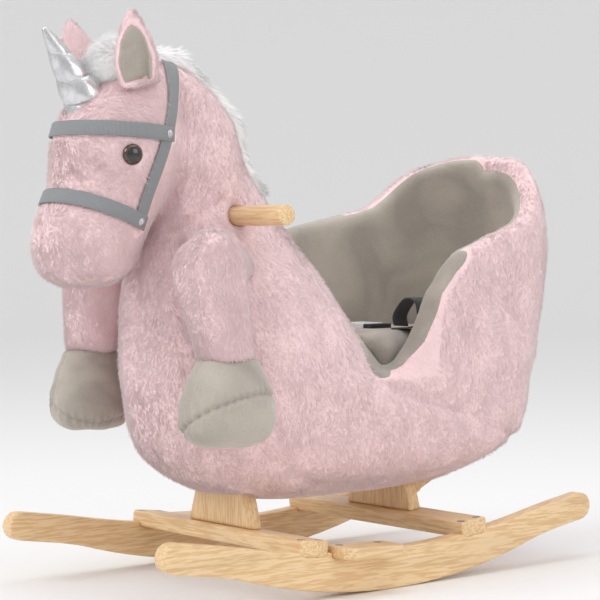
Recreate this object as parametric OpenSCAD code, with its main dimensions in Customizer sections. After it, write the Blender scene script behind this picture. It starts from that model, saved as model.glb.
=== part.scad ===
// Plush rocking horse with a unicorn's horn: a stuffed body with a bucket seat, on a wooden rocker.
// +X is the rider's left, -Y is forward, +Z is up. The modules place each piece from the middle of the
// base, on the floor midway between the rockers. placed() then moves all of them to the origin.

/* [Rockers] */
// Length of a rocker from nose to nose
rocker_length = 620; // [600:5:760]
// Width over the outer faces of the two rockers
base_width = 306; // [290:2:380]
// Thickness of a rocker board
rocker_thickness = 18; // [14:1:24]
// Radius of the edge that rolls on the floor
roll_radius = 720; // [600:10:900]
// Radius of the rocker's top edge
top_radius = 1080; // [900:10:1400]
// Height of the rocker at its middle
rocker_height = 44; // [36:1:56]
// Radius of the rocker's rounded nose
nose_radius = 15.7; // [12:0.1:20]

/* [Crossbars and supports] */
// Depth of a crossbar, front to back
crossbar_depth = 38; // [30:1:50]
// Thickness of a crossbar
crossbar_thickness = 18; // [14:1:24]
// Distance from the middle of the base to the middle of a crossbar
crossbar_offset = 118; // [105:1:130]
// Depth of the housing that each rocker has for a crossbar or a footrest
housing_depth = 5; // [3:0.5:8]
// Thickness of a support board
support_thickness = 18; // [14:1:24]
// Half width of a support at its foot
support_foot = 60; // [50:1:80]
// Half width of a support at its head
support_head = 42; // [34:1:44]
// Height of the underside of the base board
deck_height = 105; // [100:1:112]
// Length of the glue block behind the rear support
gusset_length = 38; // [25:1:45]

/* [Footrests] */
// Length of a footrest, front to back
footrest_length = 86; // [70:1:110]
// Width of a footrest
footrest_width = 43; // [36:1:60]
// Thickness of a footrest
footrest_thickness = 12.5; // [10:0.5:16]
// Middle of a footrest, in front of the middle of the base
footrest_forward = 49; // [30:1:60]
// Radius of a footrest's outer corners
footrest_corner = 14; // [6:1:20]

/* [Wooden frame inside] */
// Thickness of the plywood boards
board_thickness = 12; // [9:1:15]
// Height of the top of the belly, on which the seat stands
seat_height = 228; // [220:1:240]
// Diameter of the handle dowel
handle_diameter = 22; // [18:1:28]
// Length of the handle dowel
handle_length = 280; // [260:2:340]
// Height of the handle's axis
handle_height = 402; // [390:1:415]
// Distance of the handle's axis in front of the middle of the base
handle_forward = 142; // [130:1:150]
// Side of the neck post, left to right
post_width = 34; // [30:1:44]
// Side of the neck post, front to back
post_depth = 40; // [34:1:50]

/* [Plush] */
// Half width of the seat's outside where it meets the belly
tub_half_width = 120; // [110:1:130]
// Thickness of the padded seat wall
wall_thickness = 30; // [24:1:36]
// Thickness of the plush and of the lining fabric
fabric_thickness = 4; // [2.5:0.5:5]
// Thickness of the seat cushion
cushion_thickness = 40; // [25:1:45]
// Highest point of the backrest
backrest_top = 484; // [460:1:500]

/* [Legs] */
// Distance of a hoof's axis from the middle
leg_offset = 124; // [122:1:134]
// Distance of a leg's top from the middle
leg_top_offset = 104; // [102:1:110]
// Height of the seam on which a leg swings
leg_pivot_height = 345; // [335:1:350]
// Distance of that seam in front of the middle of the base
leg_pivot_forward = 217; // [214:1:222]
// Radius of a leg at its seam
leg_radius = 32; // [26:1:34]
// Height of a hoof's sole
hoof_sole_height = 168; // [155:1:175]
// Height of a hoof
hoof_height = 86; // [70:1:95]

/* [Head] */
// Height of the head's lowest point, under the muzzle
head_bottom = 329; // [329:1:335]
// Diameter of an eye
eye_diameter = 23; // [18:1:28]
// Length of the horn
horn_length = 102; // [80:1:130]
// Diameter of the horn's base
horn_diameter = 54; // [44:1:58]
// Height of an ear
ear_height = 78; // [60:1:85]
// Width of the bridle's webbing
bridle_width = 16; // [10:1:20]
// Thickness of the webbing
webbing_thickness = 2.2; // [1.5:0.1:3]

/* [Seat belt] */
// Width of the belt's webbing
belt_width = 25; // [20:1:30]
// Width of the belt's buckle
buckle_width = 32; // [30:1:38]
// How far the buckle's tongue slides to come free
buckle_travel = 25; // [20:1:28]

/* [Fasteners] */
// Diameter of a wood screw's shank
screw_diameter = 4; // [3:0.5:5]
// Diameter of a wood screw's head
screw_head = 8.5; // [7:0.5:10]

/* [Hidden] */

wood = "burlywood";
plush = "pink";
lining = "darkgray";
stuffing = "ivory";

// Free gap round a screw, a dowel or a board that another piece holds
fit_gap = 0.1;
// Free gap between soft pieces that move past each other
move_gap = 0.6;
// Points round one section of a soft body
ring_points = 32;
// A length that is surely longer than the whole object
far = 1000;
// Foremost point of the muzzle and rearmost point of the seat's back, from the middle of the base
muzzle_front = -354;
belly_rear = 313;
seat_back_bulge = 20;
rocker_end = rocker_length / 2;
// The origin is under the middle of the whole object, a little in front of the middle of the base.
middle_shift = (max(-muzzle_front, rocker_end) - max(belly_rear + seat_back_bulge, rocker_end)) / 2;
module placed() { translate([0, middle_shift, 0]) children(); }
module other_side() { mirror([1, 0, 0]) children(); }
module both_sides() { for (side = [0, 1]) mirror([side, 0, 0]) children(); }

// ---- Soft bodies ----------------------------------------------------------------------------
// A soft body is a stack of level sections. Each row is [height, half width, front, rear].
// The sides run straight between two rounded ends, whose centres and roundness the body has.

function lump(angle, power) = sign(cos(angle)) * pow(abs(cos(angle)), 2 / power);
function wave(angle, power) = sign(sin(angle)) * pow(abs(sin(angle)), 2 / power);

function section(row, centres, powers) = [
    for (i = [0:ring_points - 1])
        let (angle = 360 * (i + 0.5) / ring_points,
             rear = sin(angle) > 0,
             power = rear ? powers[1] : powers[0],
             middle = is_undef(centres) ? (row[2] + row[3]) / 2 : (rear ? centres[1] : centres[0]),
             reach = rear ? row[3] - middle : middle - row[2])
        [row[1] * lump(angle, power), middle + reach * wave(angle, power), row[0]]];

module stack(rows, centres = undef, powers = [2.2, 2.2]) {
    count = len(rows);
    n = ring_points;
    points = [for (row = rows) each section(row, centres, powers)];
    // Each four-sided patch is two triangles, cut so that the left and right halves mirror each other.
    sides = [
        for (k = [0:count - 2], i = [0:n - 1])
            let (j = (i + 1) % n, a = k * n + i, b = k * n + j, c = a + n, d = b + n)
            each (cos(360 * (i + 1) / n) > 0 ? [[a, c, b], [b, c, d]] : [[a, d, b], [a, c, d]])];
    bottom = [[for (i = [0:n - 1]) i]];
    top = [[for (i = [n - 1:-1:0]) (count - 1) * n + i]];
    polyhedron(points, concat(sides, bottom, top), convexity = 6);
}

// The same body, grown outward by a distance (or shrunk, if it is negative).
function grown(rows, by) = let (last = len(rows) - 1) [
    for (k = [0:last])
        let (row = rows[k], rise = k == 0 ? -by : (k == last ? by : 0))
        [row[0] + rise, row[1] + by, row[2] - by, row[3] + by]];

// Heights between the belly's bottom and the seat, as shares of that rise.
belly_bottom = 89;
function belly_level(share) = belly_bottom + share * (seat_height - belly_bottom);
belly_rows = [
    [belly_level(0), 38, -80, 70],
    [belly_level(0.04), 62, -118, 125],
    [belly_level(0.11), 84, -150, 190],
    [belly_level(0.22), 100, -180, 240],
    [belly_level(0.31), 108, -198, 272],
    [belly_level(0.42), 113, -214, 296],
    [belly_level(0.64), tub_half_width - 3, -227, 307],
    [belly_level(1), tub_half_width, -234, belly_rear]];
belly_centres = [-30, 60];
belly_powers = [2.3, 3];

chest_front = -234;
chest_rows = [
    [seat_height, tub_half_width - 4, chest_front, 82],
    [260, 112, chest_front, 50],
    [303, 105, chest_front + 1, 14],
    [336, 94, chest_front + 2, -10],
    [365, 76, chest_front + 5, -33],
    [390, 62, chest_front + 12, -50],
    [422, 54, -214, -76],
    [454, 54, -226, -104],
    [479, 53, -230, -112],
    [502, 51, -232, -118],
    [530, 45, -238, -140],
    [552, 36, -244, -168],
    [566, 22, -240, -196]];

head_rows = [
    [head_bottom, 26, -322, -282],
    [338, 42, -341, -259],
    [352, 52, -351, -248],
    [375, 56, muzzle_front, -241],
    [400, 55, -348, -226],
    [425, 54, -335, -206],
    [450, 59, -331, -196],
    [475, 62, -329, -190],
    [500, 60, -322, -188],
    [516, 56, -312, -188],
    [531, 50, -295, -190],
    [544, 41, -278, -196],
    [555, 28, -262, -208]];

tub_rows = [
    [seat_height, tub_half_width, 0, belly_rear],
    [285, tub_half_width + 4, 0, belly_rear + 9],
    [331, tub_half_width + 7, 0, belly_rear + 16],
    [370, tub_half_width + 8, 0, belly_rear + seat_back_bulge],
    [410, tub_half_width + 8, 0, belly_rear + 14],
    [445, tub_half_width + 4, 0, belly_rear + 2],
    [backrest_top - 12, tub_half_width - 4, 0, belly_rear - 12],
    [backrest_top, tub_half_width - 16, 0, belly_rear - 26]];
tub_centres = [60, 100];
tub_powers = [2.3, 3];

module belly(by = 0) { stack(grown(belly_rows, by), belly_centres, belly_powers); }
module chest(by = 0) { stack(grown(chest_rows, by)); }
module head(by = 0) { stack(grown(head_rows, by)); }

// The seat wall's body between its outside and a depth: its ends are left level, so it is open.
function thinner(by, past) = [
    for (k = [0:len(tub_rows) - 1])
        let (row = tub_rows[k], last = len(tub_rows) - 1)
        [row[0] + (k == 0 ? -past : (k == last ? past : 0)), row[1] - by, row[2] + by, row[3] - by]];
module tub_layer(outer, inner) {
    difference() {
        stack(thinner(outer, 0), tub_centres, tub_powers);
        stack(thinner(inner, 1), tub_centres, tub_powers);
    }
}

// Top edges of the two seat wings, from the low point of the leg opening back to the backrest.
wing_foot = 26;
wing_left_edge = [
    [wing_foot, seat_height], [44, 236], [64, 262], [78, 288], [92, 318], [110, 344],
    [134, 364], [180, 380], [234, 396], [256, 408], [270, 430], [280, 452], [290, backrest_top]];
wing_right_edge = [
    [wing_foot, seat_height], [28, 262], [34, 310], [42, 350], [54, 378], [68, 391],
    [126, 403], [190, 416], [214, 434], [238, 458], [262, 472], [290, backrest_top]];
// Half outline of the backrest's top, from the middle out to the wing.
back_arch = [
    [0, backrest_top - 1], [30, backrest_top - 3], [60, backrest_top - 8], [90, backrest_top - 19],
    [108, backrest_top - 32], [120, backrest_top - 48], [126, backrest_top - 66], [140, backrest_top - 84]];

module above(edge) {
    rotate([90, 0, 90])
        linear_extrude(far)
            polygon(concat([[-far, seat_height]], edge, [[edge[len(edge) - 1][0], far], [-far, far]]));
}

module tub_shape(outer, inner) {
    difference() {
        tub_layer(outer, inner);
        above(wing_left_edge);
        mirror([1, 0, 0]) above(wing_right_edge);
        both_sides()
            rotate([90, 0, 0]) translate([0, 0, -far])
                linear_extrude(far - 200) polygon(concat(back_arch, [[far, 400], [far, far], [0, far]]));
        chest(move_gap);
    }
}

// ---- Rockers --------------------------------------------------------------------------------

sweep_end = 205;
toe_start = 252;
toe_slope = 8.8;
nose = [rocker_end - nose_radius, 62.5];
function roll_z(y) = roll_radius - sqrt(roll_radius * roll_radius - y * y);
function top_z(y) = rocker_height + top_radius - sqrt(top_radius * top_radius - y * y);
function top_slope(y) = asin(y / top_radius);
// A point on the straight toe: under the nose's centre (below = 1) or over it (below = -1).
function toe_point(y, below) =
    let (across = nose + nose_radius * [sin(toe_slope), -cos(toe_slope)] * below)
    [y, across[1] + (y - across[0]) * tan(toe_slope)];
function bend(a, c, b, t) = (1 - t) * (1 - t) * a + 2 * t * (1 - t) * c + t * t * b;
sweep_steps = 24;
bend_steps = 6;
nose_steps = 10;

function half_edge(below) =
    let (start = [sweep_end, below == 1 ? roll_z(sweep_end) : top_z(sweep_end)],
         finish = toe_point(toe_start, below),
         slope = below == 1 ? asin(sweep_end / roll_radius) : top_slope(sweep_end),
         // Where the arc's tangent meets the straight toe
         run = (finish[1] - start[1] - (finish[0] - start[0]) * tan(toe_slope)) / (tan(slope) - tan(toe_slope)),
         corner = start + [run, run * tan(slope)])
    [for (i = [0:bend_steps]) bend(start, corner, finish, i / bend_steps)];

function arc_edge(below) = [
    for (i = [-sweep_steps + 1:sweep_steps - 1])
        let (y = sweep_end * i / sweep_steps)
        [y, below == 1 ? roll_z(y) : top_z(y)]];

nose_arc = [
    for (i = [0:nose_steps])
        let (angle = toe_slope - 90 + 180 * i / nose_steps)
        nose + nose_radius * [cos(angle), sin(angle)]];

function flipped(points) = [for (i = [len(points) - 1:-1:0]) [-points[i][0], points[i][1]]];
function backward(points) = [for (i = [len(points) - 1:-1:0]) points[i]];
half_outline = concat(half_edge(1), nose_arc, backward(half_edge(-1)));
rocker_outline = concat(arc_edge(1), half_outline, backward(arc_edge(-1)), flipped(half_outline));

rocker_x = base_width / 2 - rocker_thickness / 2;

module rocker_board() {
    difference() {
        translate([rocker_x - rocker_thickness / 2, 0, 0])
            rotate([90, 0, 90])
                linear_extrude(rocker_thickness) polygon(rocker_outline);
        for (side = [-1, 1]) crossbar_place(side) crossbar_blank();
        footrest_blank();
        footrest_screw_holes();
        crossbar_screw_holes();
    }
}

// ---- Crossbars ------------------------------------------------------------------------------

module crossbar_place(side) {
    y = side * crossbar_offset;
    translate([0, y, top_z(y) - housing_depth])
        rotate([top_slope(y), 0, 0]) children();
}

module crossbar_blank() {
    translate([-base_width / 2, -crossbar_depth / 2, 0])
        cube([base_width, crossbar_depth, crossbar_thickness]);
}

screw_length = 30;
screw_sink = 2.4;

// A countersunk screw whose head is level with z = 0 and that points down; gap widens it for a hole.
module screw(length, gap = 0) {
    shank = screw_diameter / 2 + gap;
    top = screw_head / 2 + gap;
    translate([0, 0, -length]) cylinder(r = shank, h = length - screw_sink + gap, $fn = 24);
    translate([0, 0, -screw_sink]) cylinder(r1 = shank, r2 = top, h = screw_sink, $fn = 24);
}

// A hole starts a little above the surface, so that its mouth is clean.
module screw_hole(length) {
    screw(length, fit_gap);
    translate([0, 0, -0.01]) cylinder(r = screw_head / 2 + fit_gap, h = 1, $fn = 24);
}

crossbar_screw_row = crossbar_depth / 2 - 7;
module crossbar_screw_places() {
    for (side = [-1, 1], end = [-1, 1], row = [-1, 1])
        crossbar_place(side)
            translate([end * rocker_x, row * crossbar_screw_row, crossbar_thickness]) children();
}
module crossbar_screw_holes() { crossbar_screw_places() screw_hole(screw_length + 1); }

support_screw_x = support_foot / 2;
support_screw_length = 42;
module support_screw_places() {
    for (side = [-1, 1], end = [-1, 1])
        crossbar_place(side)
            translate([end * support_screw_x, 0, 0]) rotate([180, 0, 0]) children();
}
module support_screw_holes() { support_screw_places() screw_hole(support_screw_length + 1); }

module crossbar(side) {
    color(wood) difference() {
        crossbar_place(side) crossbar_blank();
        crossbar_screw_holes();
        support_screw_holes();
    }
}

// ---- Footrests ------------------------------------------------------------------------------

footrest_x = base_width / 2 - rocker_thickness;
module footrest_place() {
    translate([0, -footrest_forward, top_z(-footrest_forward) - housing_depth])
        rotate([top_slope(-footrest_forward), 0, 0]) children();
}

module footrest_blank() {
    outer = footrest_x + footrest_width;
    footrest_place() linear_extrude(footrest_thickness) union() {
        translate([footrest_x, -footrest_length / 2])
            square([footrest_width - footrest_corner, footrest_length]);
        translate([footrest_x, -footrest_length / 2 + footrest_corner])
            square([footrest_width, footrest_length - 2 * footrest_corner]);
        for (end = [-1, 1])
            translate([outer - footrest_corner, end * (footrest_length / 2 - footrest_corner)])
                circle(r = footrest_corner, $fn = 48);
    }
}

footrest_screw_row = footrest_length / 2 - 16;
module footrest_screw_places() {
    for (row = [-1, 1])
        footrest_place() translate([rocker_x, row * footrest_screw_row, footrest_thickness]) children();
}
module footrest_screw_holes() { footrest_screw_places() screw_hole(screw_length + 1); }

module footrest() { color(wood) difference() { footrest_blank(); footrest_screw_holes(); } }

// ---- Supports -------------------------------------------------------------------------------

module support_blank(side, gap = 0) {
    foot_z = top_z(crossbar_offset);
    translate([0, side * crossbar_offset + support_thickness / 2 + gap, 0])
        rotate([90, 0, 0])
            linear_extrude(support_thickness + 2 * gap)
                polygon([
                    [-support_foot - gap, foot_z], [support_foot + gap, foot_z],
                    [support_head + gap, deck_height], [-support_head - gap, deck_height]]);
}

module support(side) {
    color(wood) difference() {
        support_blank(side);
        crossbar_place(side) translate([-far / 2, -far / 2, crossbar_thickness - far]) cube([far, far, far]);
        support_screw_holes();
        base_screw_places() screw_hole(screw_length + 1);
    }
}

gusset_start = crossbar_offset + support_thickness / 2;
gusset_drop = 26;
module gusset_blank(gap = 0) {
    translate([-support_head - gap, 0, 0])
        rotate([90, 0, 90])
            linear_extrude(2 * (support_head + gap))
                polygon([
                    [gusset_start, deck_height - gusset_drop - gap], [gusset_start, deck_height],
                    [gusset_start + gusset_length + gap, deck_height],
                    [gusset_start + gusset_length + gap, deck_height - 8 - gap]]);
}

// ---- Frame inside the body ------------------------------------------------------------------

base_board_front = -130;
base_board_rear = 168;
base_screw_x = support_head / 2;
module base_screw_places() {
    for (side = [-1, 1], end = [-1, 1])
        translate([end * base_screw_x, side * crossbar_offset, deck_height + board_thickness]) children();
}

deck_top = deck_height + board_thickness;

module base_board_blank(gap = 0) {
    translate([-support_head - gap, base_board_front - gap, deck_height - gap])
        cube([2 * (support_head + gap), base_board_rear - base_board_front + 2 * gap, board_thickness + 2 * gap]);
}

// The post leans on the base board's front edge and carries the handle.
post_foot = -96;
post_top = handle_height + 34;
module post_blank(gap = 0) {
    wide = post_width / 2 + gap;
    deep = post_depth / 2 + gap;
    translate([-wide, 0, 0])
        rotate([90, 0, 90])
            linear_extrude(2 * wide)
                polygon([
                    [post_foot - deep, deck_top], [post_foot + deep, deck_top],
                    [-handle_forward + deep, post_top + gap], [-handle_forward - deep, post_top + gap]]);
}

module handle_rod(gap = 0, length = handle_length) {
    translate([-length / 2, -handle_forward, handle_height])
        rotate([0, 90, 0]) cylinder(r = handle_diameter / 2 + gap, h = length, $fn = 64);
}

// The dowel is a little thinner inside the body, which leaves room for glue in the post.
grip_start = 80;
waist = 0.5;
module handle() {
    color(wood) difference() {
        handle_rod();
        translate([-grip_start, -handle_forward, handle_height]) rotate([0, 90, 0]) difference() {
            cylinder(r = handle_diameter, h = 2 * grip_start, $fn = 64);
            translate([0, 0, -1])
                cylinder(r = handle_diameter / 2 - waist, h = 2 * grip_start + 2, $fn = 64);
        }
    }
}

seat_board_top = seat_height - fabric_thickness - 2;
seat_board_half = 78;
seat_board_front = 96;
back_board_y = belly_rear - 20;
back_board_thickness = 7;
back_board_lean = 6;
back_board_half = 44;
back_board_top = 400;
riser_thickness = 12;
riser_offset = 30;

// The seat board, with a tongue that reaches back to the backrest board.
module seat_board_blank(gap = 0) {
    low = seat_board_top - board_thickness - gap;
    high = board_thickness + 2 * gap;
    translate([-seat_board_half - gap, seat_board_front - gap, low])
        cube([2 * (seat_board_half + gap), back_board_y - seat_board_front - 34 + gap, high]);
    rear_room = gap > 0 ? 1.5 + gap : 0;
    translate([-back_board_half - rear_room, back_board_y - 40, low])
        cube([2 * (back_board_half + rear_room), 40 + (gap > 0 ? back_board_thickness / 2 : 0), high]);
}
module riser_blanks(gap = 0) {
    for (side = [-1, 1])
        translate([side * riser_offset - riser_thickness / 2 - gap, 100 - gap, deck_top])
            cube([riser_thickness + 2 * gap, 60 + 2 * gap, seat_board_top - board_thickness - deck_top]);
}
module backrest_blank(gap = 0) {
    low = seat_board_top - board_thickness;
    translate([0, back_board_y, low]) rotate([-back_board_lean, 0, 0])
        translate([-back_board_half - gap, -gap, -gap])
            cube([2 * (back_board_half + gap), back_board_thickness + 2 * gap, back_board_top - low + 2 * gap]);
}
// The wooden pieces that come through the belly's cover.
module through_frame() {
    post_blank(fit_gap);
    backrest_blank(fit_gap);
    for (side = [-1, 1]) support_blank(side, fit_gap);
    gusset_blank(fit_gap);
}

// ---- Stuffed body ---------------------------------------------------------------------------

module belly_cover() {
    color(plush) difference() { belly(); belly(-fabric_thickness); through_frame(); }
}
module belly_stuffing() {
    color(stuffing) difference() {
        belly(-fabric_thickness);
        through_frame();
        base_board_blank(fit_gap);
        seat_board_blank(fit_gap);
        riser_blanks(fit_gap);
    }
}
// What the neck and chest leave free: the head, the handle, the post and the tops of the legs.
module chest_rooms() {
    head(fit_gap);
    handle_rod(fit_gap);
    post_blank(fit_gap);
    both_sides() leg_room();
}
module chest_cover() {
    color(plush) difference() { chest(); chest(-fabric_thickness); chest_rooms(); }
}
module chest_stuffing() {
    color(stuffing) difference() { chest(-fabric_thickness); chest_rooms(); }
}
module head_cover() {
    color(plush) difference() { head(); head(-fabric_thickness); }
}
module head_stuffing() { color(stuffing) head(-fabric_thickness); }

lining_depth = wall_thickness - fabric_thickness;
module tub_cover() { color(plush) tub_shape(0, fabric_thickness); }
module tub_padding() {
    color(stuffing) difference() { tub_shape(fabric_thickness, lining_depth); backrest_blank(fit_gap); }
}
module tub_lining() { color(lining) tub_shape(lining_depth, wall_thickness); }

module seat_cushion() {
    margin = wall_thickness + 1.5;
    low = seat_height;
    color(lining) difference() {
        stack([
            [low, tub_half_width - margin, margin, belly_rear - margin],
            [low + cushion_thickness * 0.7, tub_half_width - margin, margin, belly_rear - margin],
            [low + cushion_thickness, tub_half_width - margin - 8, margin + 8, belly_rear - margin - 8]],
            tub_centres, tub_powers);
        chest(move_gap);
    }
}

// ---- Legs -----------------------------------------------------------------------------------

leg_width = 48;
leg_gap = leg_radius + move_gap;
hoof_top = hoof_sole_height + hoof_height;
hoof_half_width = 39;
hoof_half_length = 49;
hoof_forward = leg_pivot_forward - 7;
hoof_toe_in = 15;

// The leg's round top and the limb below it, as a space of its own size plus a gap.
module limb(gap = 0) {
    deep = leg_radius - 1 + gap;
    hull() {
        translate([leg_top_offset - leg_width / 2 - gap, -leg_pivot_forward - deep, leg_pivot_height - 1])
            cube([leg_width + 2 * gap, 2 * deep, 1]);
        translate([leg_offset, -hoof_forward, hoof_top])
            cylinder(r = leg_radius - 3 + gap, h = 1, $fn = 32);
    }
}
module leg_room() {
    translate([leg_top_offset - leg_width / 2 - move_gap, -leg_pivot_forward, leg_pivot_height])
        rotate([0, 90, 0]) cylinder(r = leg_gap, h = 2 * leg_width, $fn = 64);
    limb(move_gap);
}

module shoulder() {
    color(plush) difference() {
        hull() {
            translate([46, -172, 366]) sphere(r = 20, $fn = 32);
            translate([leg_top_offset - 4, -leg_pivot_forward + 10, leg_pivot_height + 12])
                sphere(r = leg_radius - 1, $fn = 32);
            translate([72, -160, 345]) sphere(r = 22, $fn = 32);
        }
        chest(fit_gap);
        head(fit_gap);
        handle_rod(fit_gap);
        leg_room();
        translate([0, leg_gap + 4 - leg_pivot_forward - far, leg_pivot_height - far]) cube([far, far, far]);
        translate([0, -leg_pivot_forward - far / 2, leg_pivot_height - far - leg_gap]) cube([far, far, far]);
    }
}

// The leg's top is round about the seam's axis, so it turns in the shoulder's hollow.
module leg() {
    color(plush) union() {
        translate([leg_top_offset - leg_width / 2, -leg_pivot_forward, leg_pivot_height])
            rotate([0, 90, 0]) cylinder(r = leg_radius, h = leg_width, $fn = 64);
        limb();
    }
}

function hoof_row(share, size) = [
    hoof_sole_height + share * hoof_height, hoof_half_width * size,
    -hoof_half_length * size, hoof_half_length * size];
module hoof() {
    color(lining) translate([leg_offset + 1, -hoof_forward, 0]) rotate(-hoof_toe_in)
        stack([
            hoof_row(0, 0.55), hoof_row(0.05, 0.78), hoof_row(0.16, 0.95), hoof_row(0.32, 1),
            hoof_row(0.55, 0.95), hoof_row(0.8, 0.8), hoof_row(1, 0.62)]);
}

// ---- Head trim ------------------------------------------------------------------------------

ear_x = 47;
ear_y = -262;
ear_z = 536;
module ear_place() { translate([ear_x, ear_y, ear_z]) rotate([14, 8, 0]) children(); }
function ear_rows(by) = [
    [0, 12 + by, -20 - by, 22 + by], [ear_height * 0.3, 13 + by, -25 - by, 25 + by],
    [ear_height * 0.6, 10 + by, -20 - by, 20 + by],
    [ear_height * 0.85, 6 + by, -11 - by, 11 + by], [ear_height, 1.5, -2, 2]];
module ear_hollow(by) { translate([9, -9, 6]) stack(ear_rows(by)); }
module ear() {
    color(plush) difference() {
        ear_place() difference() { stack(ear_rows(0)); ear_hollow(-4); }
        head(fit_gap);
        chest(fit_gap);
    }
}
module ear_lining() {
    color(lining) difference() {
        ear_place() intersection() { stack(ear_rows(0)); ear_hollow(-4); }
        ear_place() ear_hollow(-7);
        head(fit_gap);
        chest(fit_gap);
    }
}

horn_base = [0, -289, 509];
horn_lean = 35.4;
module horn() {
    color("silver") difference() {
        translate(horn_base) rotate([horn_lean, 0, 0])
            cylinder(r1 = horn_diameter / 2, r2 = 3, h = horn_length, $fn = 64);
        head();
    }
}

tuft_spot = [0, -262, 558];
tuft_radius = 20;
module forelock() {
    color("white") difference() {
        translate(tuft_spot) sphere(r = tuft_radius, $fn = 32);
        head();
        chest(fit_gap);
        both_sides() ear_place() stack(ear_rows(fit_gap));
        translate(horn_base) rotate([horn_lean, 0, 0])
            cylinder(r1 = horn_diameter / 2 + 1, r2 = 4, h = horn_length, $fn = 32);
        crown_shape(webbing_thickness + fit_gap);
    }
}

mane_half_width = 15;
mane_depth = 9;
module mane() {
    color("white") difference() {
        intersection() {
            chest(mane_depth);
            translate([-mane_half_width, -235, 432]) cube([2 * mane_half_width, far, far]);
        }
        chest();
        head(fit_gap);
        crown_shape(webbing_thickness + fit_gap);
        translate(tuft_spot) sphere(r = tuft_radius + fit_gap, $fn = 32);
    }
}

eye_spot = [61, -279, 464];
module eye() {
    color("black") difference() {
        translate(eye_spot - [5, 0, 0]) sphere(r = eye_diameter / 2, $fn = 48);
        head();
        translate([-far + eye_spot[0] - 5, -far / 2, 0]) cube([far, far, far]);
    }
}

// ---- Bridle ---------------------------------------------------------------------------------
// Webbing that lies on the head: a thin skin of the head's shape, cut out by flat slabs.

brow_spot = [-236, 486];
cheek_spot = [-268, 395];
brow_tilt = -3;
nose_tilt = -20;
crown_lean = -20;
cheek_lean = atan2(brow_spot[0] - cheek_spot[0], brow_spot[1] - cheek_spot[1]);

module head_skin() { difference() { head(webbing_thickness); head(); } }

module brow_slab(gap = 0) {
    half = bridle_width / 2 + gap;
    translate([0, brow_spot[0], brow_spot[1]]) rotate([brow_tilt, 0, 0])
        translate([-far / 2, -far + half, -half]) cube([far, far, 2 * half]);
}
module nose_slab(gap = 0) {
    half = bridle_width / 2 + gap;
    translate([0, cheek_spot[0], cheek_spot[1]]) rotate([nose_tilt, 0, 0])
        translate([-far / 2, -far + half, -half]) cube([far, far, 2 * half]);
}
module cheek_slab() {
    drop = norm(brow_spot - cheek_spot);
    translate([0, cheek_spot[0], cheek_spot[1]]) rotate([-cheek_lean, 0, 0])
        translate([-far / 2, -bridle_width / 2, 0]) cube([far, bridle_width, drop]);
}
module crown_slab(gap = 0) {
    half = bridle_width / 2 - 2 + gap;
    translate([0, brow_spot[0], brow_spot[1]]) rotate([crown_lean, 0, 0])
        translate([-far / 2, -half, 0]) cube([far, 2 * half, far]);
}

module browband() {
    color("gray") difference() {
        intersection() { head_skin(); brow_slab(); }
        chest(fit_gap);
        horn_room();
    }
}
module horn_room() {
    translate(horn_base) rotate([horn_lean, 0, 0])
        cylinder(r1 = horn_diameter / 2 + fit_gap, r2 = 3 + fit_gap, h = horn_length, $fn = 64);
}
module noseband() {
    color("gray") difference() { intersection() { head_skin(); nose_slab(); } chest(fit_gap); }
}
module right_half() { translate([-far, -far / 2, 0]) cube([far, far, far]); }
module cheek_strap() {
    color("gray") difference() {
        intersection() { head_skin(); cheek_slab(); }
        brow_slab(0);
        nose_slab(0);
        chest(fit_gap);
        right_half();
    }
}
// The crown strap lies on the head and on the neck behind it, under the mane.
module crown_shape(thickness) {
    intersection() {
        union() { head(thickness); chest(thickness); }
        crown_slab(thickness - webbing_thickness);
    }
}
module crown_strap() {
    color("gray") difference() {
        crown_shape(webbing_thickness);
        head();
        chest();
        brow_slab(0);
    }
}

rivet_radius = 4.5;
module bridle_rivets() {
    color("silver") difference() {
        both_sides() {
            translate([50, brow_spot[0], brow_spot[1]]) rotate([0, 90, 0])
                cylinder(r = rivet_radius, h = 16.5, $fn = 32);
            translate([42, cheek_spot[0], cheek_spot[1]]) rotate([0, 90, 0])
                cylinder(r = rivet_radius, h = 17, $fn = 32);
        }
        head(webbing_thickness);
    }
}

// ---- Seat belt ------------------------------------------------------------------------------

belt_y = 98;
belt_z = seat_height + cushion_thickness + 7;
buckle_height = 10;
buckle_left = 4;
buckle_length = 36;
prong_length = 16;

module belt_strap(from, to) {
    color("black") intersection() {
        translate([from, belt_y - belt_width / 2, belt_z - webbing_thickness / 2])
            cube([to - from, belt_width, webbing_thickness]);
        stack(thinner(wall_thickness, 1), tub_centres, tub_powers);
    }
}
module buckle_socket() {
    color("white") translate([buckle_left - buckle_length, belt_y, belt_z]) difference() {
        translate([0, -buckle_width / 2, -buckle_height / 2])
            cube([buckle_length, buckle_width, buckle_height]);
        translate([buckle_length - prong_length - 1, -buckle_width / 2 + 3, -buckle_height / 2 + 2.5])
            cube([prong_length + 2, buckle_width - 6, buckle_height - 5]);
        for (x = [4, 9]) translate([x, -belt_width / 2 - 0.5, -buckle_height])
            cube([3, belt_width + 1, 2 * buckle_height]);
    }
}
module buckle_tongue() {
    plate = 14;
    color("black") translate([buckle_left + 0.5, belt_y, belt_z]) union() {
        difference() {
            translate([0, -buckle_width / 2, -buckle_height / 2 + 1])
                cube([plate, buckle_width, buckle_height - 2]);
            translate([5, -belt_width / 2 - 0.5, -buckle_height]) cube([5, belt_width + 1, 2 * buckle_height]);
        }
        for (side = [-1, 1])
            translate([-prong_length, side * 8 - 2.5, -2]) cube([prong_length, 5, 4]);
    }
}

// ---- Nodes ----------------------------------------------------------------------------------

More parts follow.
